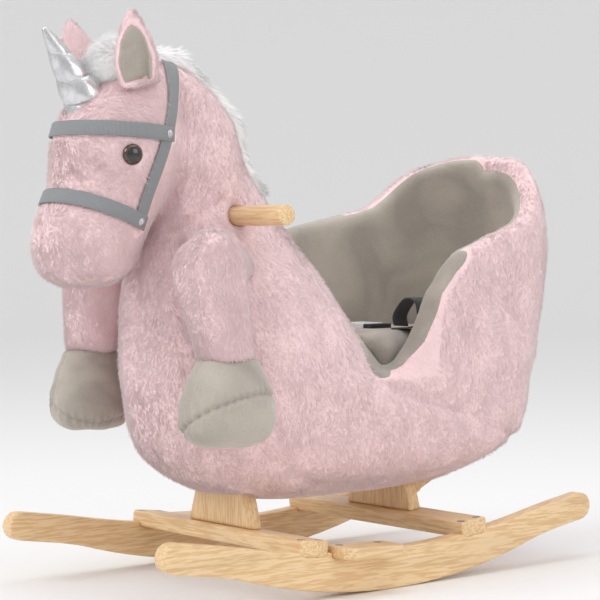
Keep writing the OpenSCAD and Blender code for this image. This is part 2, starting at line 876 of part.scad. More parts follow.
placed() color(wood) rocker_board();  // rocker_left
placed() color(wood) other_side() rocker_board();  // rocker_right
placed() crossbar(-1);  // front_crossbar
placed() crossbar(1);  // rear_crossbar
placed() color("silver") crossbar_screw_places() screw(screw_length);  // crossbar_screws
placed() footrest();  // footrest_left
placed() other_side() footrest();  // footrest_right
placed()  // footrest_screws
    color("silver") both_sides() footrest_screw_places() screw(screw_length);
placed() support(-1);  // front_support
placed() support(1);  // rear_support
placed() color(wood) gusset_blank();  // rear_gusset
placed() color("silver") {  // support_screws
    support_screw_places() screw(support_screw_length);
    base_screw_places() screw(screw_length);
}
placed()  // base_board
    color(wood) difference() { base_board_blank(); base_screw_places() screw_hole(screw_length + 1); }
placed()  // neck_post
    color(wood) difference() { post_blank(); handle_rod(fit_gap, far); }
placed() handle();
placed() color(wood) riser_blanks();  // seat_risers
placed() color(wood) seat_board_blank();  // seat_board
placed() color(wood) backrest_blank();  // backrest_board
placed() belly_cover();
placed() belly_stuffing();
placed() chest_cover();
placed() chest_stuffing();
placed() head_cover();
placed() head_stuffing();
placed() tub_cover();
placed() tub_padding();
placed() tub_lining();
placed() seat_cushion();
placed() shoulder();  // shoulder_left
placed() other_side() shoulder();  // shoulder_right
placed() leg();  // leg_left
placed() other_side() leg();  // leg_right
placed() hoof();  // hoof_left
placed() other_side() hoof();  // hoof_right
placed() ear();  // ear_left
placed() other_side() ear();  // ear_right
placed() ear_lining();  // ear_lining_left
placed() other_side() ear_lining();  // ear_lining_right
placed() horn();
placed() forelock();
placed() mane();
placed() eye();  // eye_left
placed() other_side() eye();  // eye_right
placed() browband();
placed() noseband();
placed() cheek_strap();  // cheek_strap_left
placed() other_side() cheek_strap();  // cheek_strap_right
placed() crown_strap();
placed() bridle_rivets();
placed() belt_strap(buckle_left + 20 + buckle_travel, far);  // belt_strap_left
placed() belt_strap(-far, buckle_left - buckle_length - 0.5);  // belt_strap_right
placed() buckle_socket();
placed() buckle_tongue();
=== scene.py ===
# %% [markdown]
# # A plush unicorn rocker
# The toy is a stuffed unicorn with a bucket seat, screwed to a curved wooden base. The wooden parts,
# the joints and the sizes come from the CAD model, and here each soft part gets its cloth, pile,
# seams and straps. Everything is in metres, with the head towards -Y and the rider's left at +X.

# %% Load the frame and keep its size
import math

import bmesh
import bpy
import numpy as np
from mathutils import Matrix, Vector
from mathutils.bvhtree import BVHTree


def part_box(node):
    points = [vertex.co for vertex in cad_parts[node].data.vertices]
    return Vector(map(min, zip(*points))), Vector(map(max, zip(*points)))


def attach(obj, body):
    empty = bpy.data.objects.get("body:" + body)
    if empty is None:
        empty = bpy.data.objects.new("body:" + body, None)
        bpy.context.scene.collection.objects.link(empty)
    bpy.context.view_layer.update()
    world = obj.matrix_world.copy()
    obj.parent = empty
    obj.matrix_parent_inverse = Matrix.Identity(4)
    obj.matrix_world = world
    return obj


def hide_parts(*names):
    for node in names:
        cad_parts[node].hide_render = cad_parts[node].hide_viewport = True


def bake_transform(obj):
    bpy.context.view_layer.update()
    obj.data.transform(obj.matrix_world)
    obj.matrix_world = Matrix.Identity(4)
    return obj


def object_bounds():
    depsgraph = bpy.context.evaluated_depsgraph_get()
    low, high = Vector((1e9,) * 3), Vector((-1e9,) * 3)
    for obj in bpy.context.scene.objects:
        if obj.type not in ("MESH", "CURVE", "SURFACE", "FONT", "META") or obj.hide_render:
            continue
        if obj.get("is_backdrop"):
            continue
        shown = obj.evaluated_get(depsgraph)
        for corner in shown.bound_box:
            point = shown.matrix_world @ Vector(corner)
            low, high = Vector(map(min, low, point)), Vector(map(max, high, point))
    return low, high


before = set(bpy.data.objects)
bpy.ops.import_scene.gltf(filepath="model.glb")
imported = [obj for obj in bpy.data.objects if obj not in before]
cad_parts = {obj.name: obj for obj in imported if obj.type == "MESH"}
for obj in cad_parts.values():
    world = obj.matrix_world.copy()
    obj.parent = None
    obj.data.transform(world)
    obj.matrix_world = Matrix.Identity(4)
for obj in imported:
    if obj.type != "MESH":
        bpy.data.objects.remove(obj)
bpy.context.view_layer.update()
scene = bpy.context.scene
random = np.random.default_rng(11)


# %% [markdown]
# ## Finding things in the frame
# A piece of cloth has to sit exactly on the part under it. So the sizes below are read from the CAD
# nodes: their boxes, and search trees that answer how far a point is from a node's surface.

# %% Helpers that read the CAD nodes
def middle(node):
    low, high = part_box(node)
    return (low + high) / 2


def surface_of(*nodes):
    """One search tree over the surfaces of several CAD nodes."""
    points, faces, count = [], [], 0
    for node in nodes:
        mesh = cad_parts[node].data
        points += [v.co.copy() for v in mesh.vertices]
        faces += [tuple(i + count for i in p.vertices) for p in mesh.polygons]
        count = len(points)
    return BVHTree.FromPolygons(points, faces)


def distances(tree, points):
    return np.array([tree.find_nearest(Vector(p))[3] for p in points])


# %% [markdown]
# ## Colours and finishes
# Cloth is told by what light does in it, more than by its colour. Pile scatters light at its edges,
# so it gets sheen; ribbon has ribs; lacquered beech has long grain, small dark flecks and a soft
# shine. Each finish is a short function that returns a material, so that tints are easy to try.

# %% Node helpers
def colour(red, green, blue):
    """A screen colour (0 to 255) as the linear values that shaders use."""
    values = [c / 255 for c in (red, green, blue)]
    return [c / 12.92 if c < 0.04 else ((c + 0.055) / 1.055) ** 2.4 for c in values] + [1]


def shaded(rgba, amount):
    return [max(0.0, min(1.0, c * amount)) for c in rgba[:3]] + [1]


class Finish:
    """A material with one Principled shader, and short ways to add nodes to it."""

    def __init__(self, name, base, roughness=0.5, **settings):
        self.material = bpy.data.materials.new(name)
        self.material.use_nodes = True
        self.nodes = self.material.node_tree.nodes
        self.links = self.material.node_tree.links
        self.shader = self.nodes["Principled BSDF"]
        self.shader.inputs["Base Color"].default_value = base
        self.shader.inputs["Roughness"].default_value = roughness
        for key, value in settings.items():
            self.shader.inputs[key.replace("_", " ").title()].default_value = value
        self.material.diffuse_color = base

    def place(self, scale=(1, 1, 1), kind="Object"):
        where = self.nodes.new("ShaderNodeTexCoord")
        mapping = self.nodes.new("ShaderNodeMapping")
        mapping.inputs["Scale"].default_value = scale
        self.links.new(where.outputs[kind], mapping.inputs["Vector"])
        return mapping.outputs["Vector"]

    def noise(self, vector, scale, detail=3.0, roughness=0.55, distortion=0.0):
        node = self.nodes.new("ShaderNodeTexNoise")
        settings = {"Scale": scale, "Detail": detail, "Roughness": roughness, "Distortion": distortion}
        for key, value in settings.items():
            node.inputs[key].default_value = value
        self.links.new(vector, node.inputs["Vector"])
        return node.outputs["Fac"]

    def wave(self, vector, scale, direction="X", distortion=0.0):
        node = self.nodes.new("ShaderNodeTexWave")
        node.bands_direction = direction
        node.inputs["Scale"].default_value = scale
        node.inputs["Distortion"].default_value = distortion
        self.links.new(vector, node.inputs["Vector"])
        return node.outputs["Fac"]

    def ramp(self, value, *stops):
        node = self.nodes.new("ShaderNodeValToRGB")
        while len(node.color_ramp.elements) < len(stops):
            node.color_ramp.elements.new(0.5)
        for element, (place, rgba) in zip(node.color_ramp.elements, stops):
            element.position = place
            element.color = rgba
        self.links.new(value, node.inputs["Fac"])
        return node.outputs["Color"]

    def blend(self, share, one, two, mode="MIX"):
        node = self.nodes.new("ShaderNodeMix")
        node.data_type = "RGBA"
        node.blend_type = mode
        for socket, value in ((0, share), (6, one), (7, two)):
            if isinstance(value, bpy.types.NodeSocket):
                self.links.new(value, node.inputs[socket])
            else:
                node.inputs[socket].default_value = value
        return node.outputs[2]

    def bump(self, height, distance, strength=1.0):
        node = self.nodes.new("ShaderNodeBump")
        node.inputs["Distance"].default_value = distance
        node.inputs["Strength"].default_value = strength
        self.links.new(height, node.inputs["Height"])
        previous = self.shader.inputs["Normal"].links
        if previous:
            self.links.new(previous[0].from_socket, node.inputs["Normal"])
        self.links.new(node.outputs["Normal"], self.shader.inputs["Normal"])

    def colour_from(self, socket):
        self.links.new(socket, self.shader.inputs["Base Color"])

    def roughness_from(self, value, low, high):
        node = self.nodes.new("ShaderNodeMapRange")
        node.inputs["To Min"].default_value = low
        node.inputs["To Max"].default_value = high
        self.links.new(value, node.inputs["Value"])
        self.links.new(node.outputs["Result"], self.shader.inputs["Roughness"])


# %% Pile, velour, webbing and horn cloth
pink = colour(252, 219, 221)
white = colour(252, 250, 250)
grey = colour(176, 168, 158)


def pile_skin(name, base):
    """The woven backing and the dense foot of the pile, seen between the hairs."""
    finish = Finish(name, base, roughness=0.95, sheen_weight=0.35, sheen_roughness=0.5)
    where = finish.place()
    tufts = finish.noise(where, 60, detail=4, roughness=0.6)
    fine = finish.noise(where, 420, detail=2)
    # Painted shade and light: the backing is darker in the low places between tuft clumps and lighter on
    # their tops, following the tufts' bump.
    finish.colour_from(finish.ramp(tufts, (0.3, shaded(base, 0.92)), (0.7, shaded(base, 1.02))))
    finish.bump(tufts, 0.004)
    finish.bump(fine, 0.0012)
    return finish.material


def hair(name, base, inner=0.05):
    """Light goes from hair to hair many times. The faint glow stands in for the part that is lost."""
    finish = Finish(name, base, roughness=0.75, sheen_weight=0.4, sheen_roughness=0.45,
                    emission_color=base, emission_strength=inner)
    tone = finish.noise(finish.place(), 38, detail=2)
    finish.colour_from(finish.ramp(tone, (0.3, shaded(base, 0.93)), (0.7, shaded(base, 1.04))))
    return finish.material


def velour(name, base):
    """Short brushed pile: where a hand has brushed it, the pile lies another way, and its sheen shows as
    lighter and darker patches. That sheen is painted into the colour.
    """
    finish = Finish(name, base, roughness=0.88, sheen_weight=0.45, sheen_roughness=0.4)
    where = finish.place()
    brushed_nap_sheen = finish.noise(where, 11, detail=3, roughness=0.45, distortion=0.8)
    fibres = finish.noise(where, 900, detail=2)
    # Painted sheen: large patches lighter and darker, as brushed nap catches the light.
    rows = finish.ramp(brushed_nap_sheen, (0.36, shaded(base, 0.80)), (0.52, base), (0.66, shaded(base, 1.14)))
    # Painted shade and highlight: a fine speckle, dark in the fibres' low places and white on their tops,
    # over the same fibres' bump.
    finish.colour_from(finish.blend(0.22, rows, finish.ramp(fibres, (0.3, shaded(base, 0.6)), (0.7, white)),
                                    "SOFT_LIGHT"))
    finish.bump(fibres, 0.0005)
    finish.bump(finish.noise(where, 70, detail=3), 0.0012, 0.5)
    return finish.material


def woven(name, base, shine=0.6):
    """Ribbon with fine ribs across it. The map runs along the strap in metres."""
    finish = Finish(name, base, roughness=shine, sheen_weight=0.2)
    where = finish.place(kind="UV")
    ribs = finish.wave(where, 260, "X")
    cords = finish.wave(where, 330, "Y")
    # Painted shade and light: the colour is darker in the ribs' troughs and lighter on their crests,
    # following the ribs' bump.
    finish.colour_from(finish.ramp(ribs, (0.0, shaded(base, 0.72)), (0.8, shaded(base, 1.1))))
    finish.bump(ribs, 0.0004)
    finish.bump(cords, 0.0002)
    return finish.material


def foil_cloth(name):
    """Coated silver cloth: a metal that is creased and slightly worn."""
    base = colour(214, 214, 216)
    finish = Finish(name, base, roughness=0.27, metallic=0.95)
    where = finish.place()
    creases = finish.noise(where, 55, detail=4, roughness=0.6, distortion=1.2)
    worn = finish.noise(where, 700, detail=2)
    # Painted shade and light: darker down in the creases and lighter on their tops, following the creases'
    # bump.
    finish.colour_from(finish.ramp(creases, (0.3, shaded(base, 0.82)), (0.7, shaded(base, 1.08))))
    finish.roughness_from(worn, 0.2, 0.4)
    finish.bump(creases, 0.0012, 0.6)
    finish.bump(worn, 0.0002, 0.5)
    return finish.material


skin_pink = pile_skin("pink_pile_backing", pink)
hairs_pink = [hair(f"pink_hair_{i + 1}", shaded(pink, k)) for i, k in enumerate((1.0, 1.03, 0.97))]
hairs_white = [hair(f"white_hair_{i + 1}", shaded(white, k), 0.22) for i, k in enumerate((1.0, 0.97))]
skin_white = pile_skin("white_pile_backing", shaded(white, 0.94))
grey_velour = velour("grey_velour", grey)
ribbon_grey = woven("grey_ribbon", colour(152, 155, 158))
belt_black = woven("black_belt_webbing", colour(62, 60, 62))
silver_cloth = foil_cloth("silver_horn_cloth")
print("cloth finishes made")


# %% Beech, metal and plastic
def beech(name, along, base=colour(240, 209, 163), scale=1.0):
    """Clear-lacquered beech: long pores and soft rings along one axis, on a pale ground."""
    stretch = [34.0, 34.0, 34.0]
    stretch["XYZ".index(along)] = 2.4
    finish = Finish(name, base, roughness=0.42, coat_weight=0.25, coat_roughness=0.3)
    where = finish.place([s * scale for s in stretch])
    rings = finish.noise(where, 1.6, detail=5, roughness=0.6, distortion=0.6)
    pores = finish.noise(finish.place([s * 9 for s in stretch]), 1.4, detail=2)
    tone = finish.ramp(rings, (0.28, shaded(base, 0.88)), (0.5, base), (0.72, shaded(base, 1.06)))
    fleck = finish.ramp(pores, (0.42, shaded(base, 0.78)), (0.56, white))
    finish.colour_from(finish.blend(0.5, tone, fleck, "MULTIPLY"))
    finish.roughness_from(pores, 0.36, 0.52)
    finish.bump(pores, 0.0003, 0.6)
    return finish.material


beech_along = {axis: beech(f"beech_along_{axis.lower()}", axis) for axis in "XYZ"}
steel = Finish("zinc_steel", colour(190, 190, 194), roughness=0.34, metallic=1.0)
steel.roughness_from(steel.noise(steel.place(), 600), 0.25, 0.45)
white_plastic = Finish("white_plastic", colour(236, 237, 240), roughness=0.32, coat_weight=0.2)
white_plastic.bump(white_plastic.noise(white_plastic.place(), 1500), 0.0001, 0.4)
black_plastic = Finish("black_plastic", colour(44, 43, 46), roughness=0.42)
black_plastic.bump(black_plastic.noise(black_plastic.place(), 1800), 0.0001, 0.5)
eye_black = Finish("eye_black", colour(22, 15, 13), roughness=0.06, coat_weight=0.8)
eye_brown = Finish("eye_brown", colour(70, 42, 30), roughness=0.08, coat_weight=0.8)
eye_brown.colour_from(eye_brown.ramp(eye_brown.noise(eye_brown.place(), 500),
                                     (0.3, colour(46, 26, 18)), (0.7, colour(96, 60, 42))))
print("hard finishes made")


# %% [markdown]
# ## From CAD solid to stuffed skin
# The CAD bodies are plain lofts with small gaps between them. A voxel remesh of several solids
# together gives one closed skin, as if one cover was pulled over them all. Smoothing then rounds the
# edges the way stuffing does. Sculpting by hand would also work, but this stays close to the CAD.

# %% Make a soft skin from CAD nodes
def new_object(name, mesh, *materials):
    piece = bpy.data.objects.new(name, mesh)
    scene.collection.objects.link(piece)
    for material in materials:
        piece.data.materials.append(material)
    return piece


def applied(piece):
    """Bakes the modifiers of a piece into its mesh."""
    mesh = bpy.data.meshes.new_from_object(piece.evaluated_get(bpy.context.evaluated_depsgraph_get()))
    piece.modifiers.clear()
    piece.data = mesh
    return piece


def largest_part(mesh):
    """Deletes all but the largest connected shell of a mesh."""
    form = bmesh.new()
    form.from_mesh(mesh)
    left, best = set(form.verts), []
    while left:
        shell, edge = [], [left.pop()]
        while edge:
            vert = edge.pop()
            shell.append(vert)
            for link in vert.link_edges:
                other = link.other_vert(vert)
                if other in left:
                    left.remove(other)
                    edge.append(other)
        if len(shell) > len(best):
            best = shell
    keep = set(best)
    bmesh.ops.delete(form, geom=[v for v in form.verts if v not in keep], context="VERTS")
    form.to_mesh(mesh)
    form.free()


def points_of(mesh):
    points = np.zeros(len(mesh.vertices) * 3, np.float32)
    mesh.vertices.foreach_get("co", points)
    return points.reshape(-1, 3).astype(float)


def normals_of(mesh):
    normals = np.zeros(len(mesh.vertices) * 3, np.float32)
    mesh.vertex_normals.foreach_get("vector", normals)
    return normals.reshape(-1, 3).astype(float)


def set_points(mesh, points):
    mesh.vertices.foreach_set("co", points.astype(np.float32).ravel())
    mesh.update()


def relaxed(mesh, passes, strength=0.5):
    """Moves each point towards the mean of its neighbours, several times."""
    ends = np.zeros(len(mesh.edges) * 2, np.int32)
    mesh.edges.foreach_get("vertices", ends)
    one, two = ends.reshape(-1, 2).T
    points = points_of(mesh)
    count = len(points)
    share = (np.bincount(one, minlength=count) + np.bincount(two, minlength=count))[:, None]
    for _ in range(passes):
        total = np.stack([np.bincount(one, points[two, k], count) + np.bincount(two, points[one, k], count)
                          for k in range(3)], 1)
        points += strength * (total / share - points)
    set_points(mesh, points)


def soft_skin(name, nodes, voxel, passes):
    form = bmesh.new()
    for node in nodes:
        part = bmesh.new()
        part.from_mesh(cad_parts[node].data)
        bmesh.ops.remove_doubles(part, verts=part.verts, dist=1e-5)
        copy = bpy.data.meshes.new(node)
        part.to_mesh(copy)
        part.free()
        form.from_mesh(copy)
        bpy.data.meshes.remove(copy)
    mesh = bpy.data.meshes.new(name)
    form.to_mesh(mesh)
    form.free()
    piece = new_object(name, mesh)
    remesh = piece.modifiers.new("one_cover", "REMESH")
    remesh.mode = "VOXEL"
    remesh.voxel_size = voxel
    applied(piece)
    largest_part(piece.data)
    relaxed(piece.data, passes)
    piece.data.shade_smooth()
    print(name, len(piece.data.polygons), "faces")
    return piece


# %% The horse's skin: belly, chest, head and seat as one cover
cover_voxel = 0.004
skin = soft_skin("plush_skin", [
    "belly_cover", "belly_stuffing", "chest_cover", "chest_stuffing", "head_cover", "head_stuffing",
    "tub_cover", "tub_padding", "tub_lining", "base_board", "neck_post", "seat_risers", "seat_board",
    "backrest_board"], cover_voxel, 16)
skin_at = points_of(skin.data)
to_pink = distances(surface_of("tub_cover", "chest_cover", "belly_cover", "head_cover"), skin_at)
to_grey = distances(surface_of("tub_lining", "seat_cushion"), skin_at)
to_head = distances(surface_of("head_cover"), skin_at)
to_chest = distances(surface_of("chest_cover"), skin_at)


# %% [markdown]
# ## Seams
# A plush cover is sewn from panels. At each seam the stuffing is pulled in, so the surface has a
# soft groove. A groove is drawn as a line on the side of the horse, and points near it move inward.

# %% Press grooves along the seams
def smooth_step(value, low, high):
    t = np.clip((value - low) / (high - low), 0, 1)
    return t * t * (3 - 2 * t)


def line_distance(flat, route):
    """How far each flat point is from a line through a few route points."""
    best = np.full(len(flat), 9.0)
    for start, end in zip(route[:-1], route[1:]):
        a, d = np.array(start), np.array(end) - np.array(start)
        t = np.clip((flat - a) @ d / (d @ d), 0, 1)
        best = np.minimum(best, np.linalg.norm(flat - (a + t[:, None] * d), axis=1))
    return best


side_seam = [(0.014, 0.225), (0.069, 0.202), (0.131, 0.185), (0.183, 0.168), (0.236, 0.150), (0.300, 0.135)]
belly_seam = [(-0.150, 0.180), (-0.137, 0.166), (-0.122, 0.146), (-0.079, 0.121), (-0.052, 0.110),
              (0.018, 0.104), (0.104, 0.106), (0.191, 0.115), (0.260, 0.135)]
neck_seam = [(-0.150, 0.420), (-0.164, 0.410), (-0.200, 0.388)]


def side_groove(points, normals, route, depth, width):
    near = line_distance(points[:, 1:], route)
    facing = smooth_step(np.abs(normals[:, 0]), 0.15, 0.5)
    return depth * facing * np.exp(-(near / width) ** 2)


skin_out = normals_of(skin.data)
press = side_groove(skin_at, skin_out, side_seam, 0.0035, 0.006)
press += side_groove(skin_at, skin_out, belly_seam, 0.003, 0.006)
press += side_groove(skin_at, skin_out, neck_seam, 0.003, 0.007)
crease = np.exp(-((to_head - to_chest) / 0.008) ** 2) * (to_head < 0.02) * (skin_at[:, 2] < 0.45)
press += 0.005 * crease
middle_line = np.exp(-(skin_at[:, 0] / 0.004) ** 2) * (skin_at[:, 1] < -0.18)
press += 0.0015 * middle_line
skin_at = skin_at - skin_out * press[:, None]
set_points(skin.data, skin_at)
print("deepest groove", round(float(press.max()) * 1000, 1), "mm")


# %% [markdown]
# ## The lining of the seat
# The bucket seat is lined with grey velour, which wraps over the edge of the wings. On the real toy
# it is a separate panel. Cutting the skin along a curve would leave a ragged edge, so two sheets are
# made from it instead: each dives under the other where it ends, and the seam is where they cross.

# %% Split the skin into the pink cover and the grey lining
wing_seam = [(0.0255, 0.229), (0.0495, 0.241), (0.0765, 0.267), (0.0905, 0.292), (0.1005, 0.319),
             (0.1215, 0.344), (0.1385, 0.358), (0.1535, 0.368), (0.1735, 0.375), (0.1975, 0.387)]


def seam_field(points, to_cover, to_lining):
    """Above zero where the lining shows. On the wings' front edges it folds over to the outside."""
    share = 0.15 + 0.65 * smooth_step(points[:, 1], 0.10, 0.16)
    field = (1 - share) * to_cover - share * to_lining
    route = np.array(wing_seam)
    above = points[:, 2] - np.interp(points[:, 1], route[:, 0], route[:, 1])
    over = np.sign(above) * line_distance(points[:, 1:], wing_seam) + 0.006
    front = 1 - smooth_step(points[:, 1], 0.135, 0.175)
    outside = (np.abs(points[:, 0]) > 0.06) & (points[:, 1] > 0.02)
    over = over * front - 0.02 * (1 - front)
    field = np.where(outside, np.maximum(field, over), field)
    return field - 0.05 * smooth_step(-points[:, 2], -0.226, -0.214)


lining_field = seam_field(skin_at, to_pink, to_grey)


def panel(name, source, keep, shift, *materials):
    """A copy of part of a mesh, moved along its normals."""
    mesh = source.data.copy()
    set_points(mesh, points_of(mesh) + normals_of(mesh) * shift[:, None])
    form = bmesh.new()
    form.from_mesh(mesh)
    form.verts.ensure_lookup_table()
    bmesh.ops.delete(form, geom=[v for v in form.verts if not keep[v.index]], context="VERTS")
    form.to_mesh(mesh)
    form.free()
    mesh.materials.clear()
    piece = new_object(name, mesh, *materials)
    piece.data.shade_smooth()
    return piece


tuck = 0.005
lining_shift = np.clip(lining_field * 0.5, -tuck, 0.0015)
cover_shift = np.clip(-lining_field * 0.5, -tuck, 0.0)
lining = panel("seat_lining", skin, lining_field > -0.008, lining_shift, grey_velour)
plush = panel("plush_cover", skin, lining_field < 0.008, cover_shift, skin_pink)
print("lining", len(lining.data.polygons), "cover", len(plush.data.polygons))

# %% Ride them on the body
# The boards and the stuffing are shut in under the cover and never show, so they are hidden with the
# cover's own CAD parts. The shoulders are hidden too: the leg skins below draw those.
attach(plush, "body")
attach(lining, "body")
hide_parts("belly_cover", "belly_stuffing", "chest_cover", "chest_stuffing", "head_cover",
            "head_stuffing", "tub_cover", "tub_padding", "shoulder_left", "shoulder_right",
            "base_board", "neck_post", "seat_risers", "seat_board", "backrest_board")
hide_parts("tub_lining")
bpy.data.objects.remove(skin)
scene.view_layers[0].update()

# %% [markdown]
# ## The front legs
# Each leg is a stuffed tube sewn to the shoulder, so it bends at its top seam and has no hard hinge.
# One skin is made over the shoulder and the leg.

# %% Legs
legs = {}
for side in ("left", "right"):
    leg = soft_skin(f"leg_{side}_plush", [f"shoulder_{side}", f"leg_{side}"], 0.003, 14)
    leg.data.materials.append(skin_pink)
    legs[side] = leg
    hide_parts(f"leg_{side}")


# %% [markdown]
# ## Hooves
# A hoof is a velour bag with an oval sole. The sole's seam gathers the cloth, which makes short
# folds that run across it. A cloth simulation could inflate the bag, but it would lose the seam, so
# the folds and the seam are pressed into a remeshed form by their distance from the sole's plane.

# %% Hooves
hooves = {}
for side, out in (("left", 1), ("right", -1)):
    hoof = soft_skin(f"hoof_{side}_velour", [f"hoof_{side}"], 0.0022, 12)
    hoof.data.materials.append(grey_velour)
    at, outward = points_of(hoof.data), normals_of(hoof.data)
    low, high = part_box(f"hoof_{side}")
    centre = np.array((low + high) / 2)
    sole_normal = np.array([0.50 * out, 0.10, -0.86])
    sole_normal /= np.linalg.norm(sole_normal)
    sole_point = centre + np.array([0.0, 0.0, -0.013])
    height = (at - sole_point) @ sole_normal
    round_angle = np.arctan2(at[:, 1] - centre[1], at[:, 0] - centre[0])
    seam = np.exp(-(height / 0.0022) ** 2)
    pleats = 0.0010 * np.sin(30 * round_angle) * np.exp(-(np.abs(height) / 0.009) ** 2)
    front_seam = np.exp(-((at[:, 0] - centre[0]) / 0.0025) ** 2) * (at[:, 1] < centre[1]) * (height < 0)
    lump = 0.0008 * np.sin(at @ np.array([90, 140, 60])) * np.sin(at @ np.array([-70, 50, 160]))
    at += outward * (0.002 - 0.0035 * seam + pleats + lump - 0.0014 * front_seam)[:, None]
    set_points(hoof.data, at)
    hooves[side] = hoof
    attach(hoof, f"{side}_leg")
    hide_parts(f"hoof_{side}")
print("hooves", [len(h.data.polygons) for h in hooves.values()])


# %% [markdown]
# ## The seat cushion
# The loose pad in the seat is foam in a velour bag. Its CAD solid is flat, so it is blown up with a
# short cloth simulation: pressure pushes it out and it gets a crown. A cap keeps the growth to a few
# millimetres, and no point may sink.

# %% Inflate the cushion
cushion = soft_skin("seat_cushion_velour", ["seat_cushion"], 0.005, 2)
cushion.data.materials.append(grey_velour)
start_points = points_of(cushion.data)
cloth = cushion.modifiers.new("inflate", "CLOTH")
cloth.settings.use_pressure = True
cloth.settings.uniform_pressure_force = 3.0
cloth.settings.effector_weights.gravity = 0.0
cloth.settings.tension_stiffness = 20
for step in range(1, 17):
    scene.frame_set(step)
applied(cushion)
scene.frame_set(1)
grown = points_of(cushion.data) - start_points
reach = np.linalg.norm(grown, axis=1)
most = 0.006
grown *= np.minimum(1, most / np.maximum(reach, 1e-9))[:, None]
grown[:, 2] = np.maximum(grown[:, 2], 0)
set_points(cushion.data, start_points + grown)
smoother = cushion.modifiers.new("finer", "SUBSURF")
smoother.levels = smoother.render_levels = 1
cushion.data.shade_smooth()
applied(cushion)
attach(cushion, "body")
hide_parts("seat_cushion")
print("cushion moved at most", round(float(reach.max()) * 1000, 1), "mm before the cap")


# %% [markdown]
# ## Pile
# Short plush pile is thousands of soft fibres that lie in tufts. A bump map looks flat at the
# outline, and a hair system is lost when the model is exported, so the tufts are real geometry: thin
# three-sided strands, each with its foot in the skin. Their shading normals lean to the skin's
# own normal, which is what makes pile look soft and not like needles.

# %% Grow strands on a skin
def smooth_noise(points, scale, seed):
    """A smooth random vector at each point, made of a few crossed waves."""
    source = np.random.default_rng(seed)
    total = np.zeros((len(points), 3))
    for _ in range(6):
        wave = source.normal(size=3) / scale
        turn = source.uniform(0, 2 * math.pi, 3)
        total += np.sin((points @ wave)[:, None] + turn)
    return total / 3.5


def roots(piece, count, inside, keep):
    """Random places spread evenly over the area that is inside, then thinned by keep(points)."""
    mesh = piece.data
    mesh.calc_loop_triangles()
    corner = np.zeros(len(mesh.loop_triangles) * 3, np.int32)
    mesh.loop_triangles.foreach_get("vertices", corner)
    corner = corner.reshape(-1, 3)
    at, out = points_of(mesh), normals_of(mesh)
    a, b, c = (at[corner[:, k]] for k in range(3))
    area = np.linalg.norm(np.cross(b - a, c - a), axis=1) / 2 * inside((a + b + c) / 3)
    chosen = random.choice(len(corner), count, p=area / area.sum())
    u, v = random.random((2, count))
    fold = u + v > 1
    u, v = np.where(fold, 1 - u, u), np.where(fold, 1 - v, v)
    weights = np.stack([1 - u - v, u, v], 1)[:, :, None]
    places = (at[corner[chosen]] * weights).sum(1)
    normals = (out[corner[chosen]] * weights).sum(1)
    normals /= np.linalg.norm(normals, axis=1)[:, None]
    allowed = keep(places)
    return places[allowed], normals[allowed], float(area.sum())


def strand_mesh(name, feet, normals, lean, length, width, bend, segments):
    """Closed strands, three-sided, that taper to a point and droop along bend."""
    count = len(feet)
    side = np.cross(lean, normals + 0.01)
    side /= np.linalg.norm(side, axis=1)[:, None]
    other = np.cross(lean, side)
    rings = []
    for k in range(segments):
        t = k / segments
        centre = feet + lean * (length * t)[:, None] + bend * (length * t * t)[:, None]
        size = width * (1 - 0.75 * t)
        for turn in range(3):
            angle = 2 * math.pi * turn / 3
            rings.append(centre + (side * math.cos(angle) + other * math.sin(angle)) * size[:, None])
    rings.append(feet + lean * length[:, None] + bend * length[:, None])
    per = len(rings)
    points = np.stack(rings, 1).reshape(-1, 3)
    pattern = [(2, 1, 0)]
    for k in range(segments - 1):
        for turn in range(3):
            p, q = 3 * k + turn, 3 * k + (turn + 1) % 3
            pattern += [(p, q, q + 3), (p, q + 3, p + 3)]
    last = 3 * (segments - 1)
    pattern += [(last + turn, last + (turn + 1) % 3, per - 1) for turn in range(3)]
    faces = (np.array(pattern)[None] + (np.arange(count) * per)[:, None, None]).reshape(-1)
    mesh = bpy.data.meshes.new(name)
    mesh.vertices.add(len(points))
    mesh.vertices.foreach_set("co", points.astype(np.float32).ravel())
    total = len(faces) // 3
    mesh.loops.add(total * 3)
    mesh.loops.foreach_set("vertex_index", faces.astype(np.int32))
    mesh.polygons.add(total)
    mesh.polygons.foreach_set("loop_start", np.arange(0, total * 3, 3, dtype=np.int32))
    mesh.update(calc_edges=True)
    return mesh, per, len(pattern)


def everywhere(points):
    return np.ones(len(points), bool)


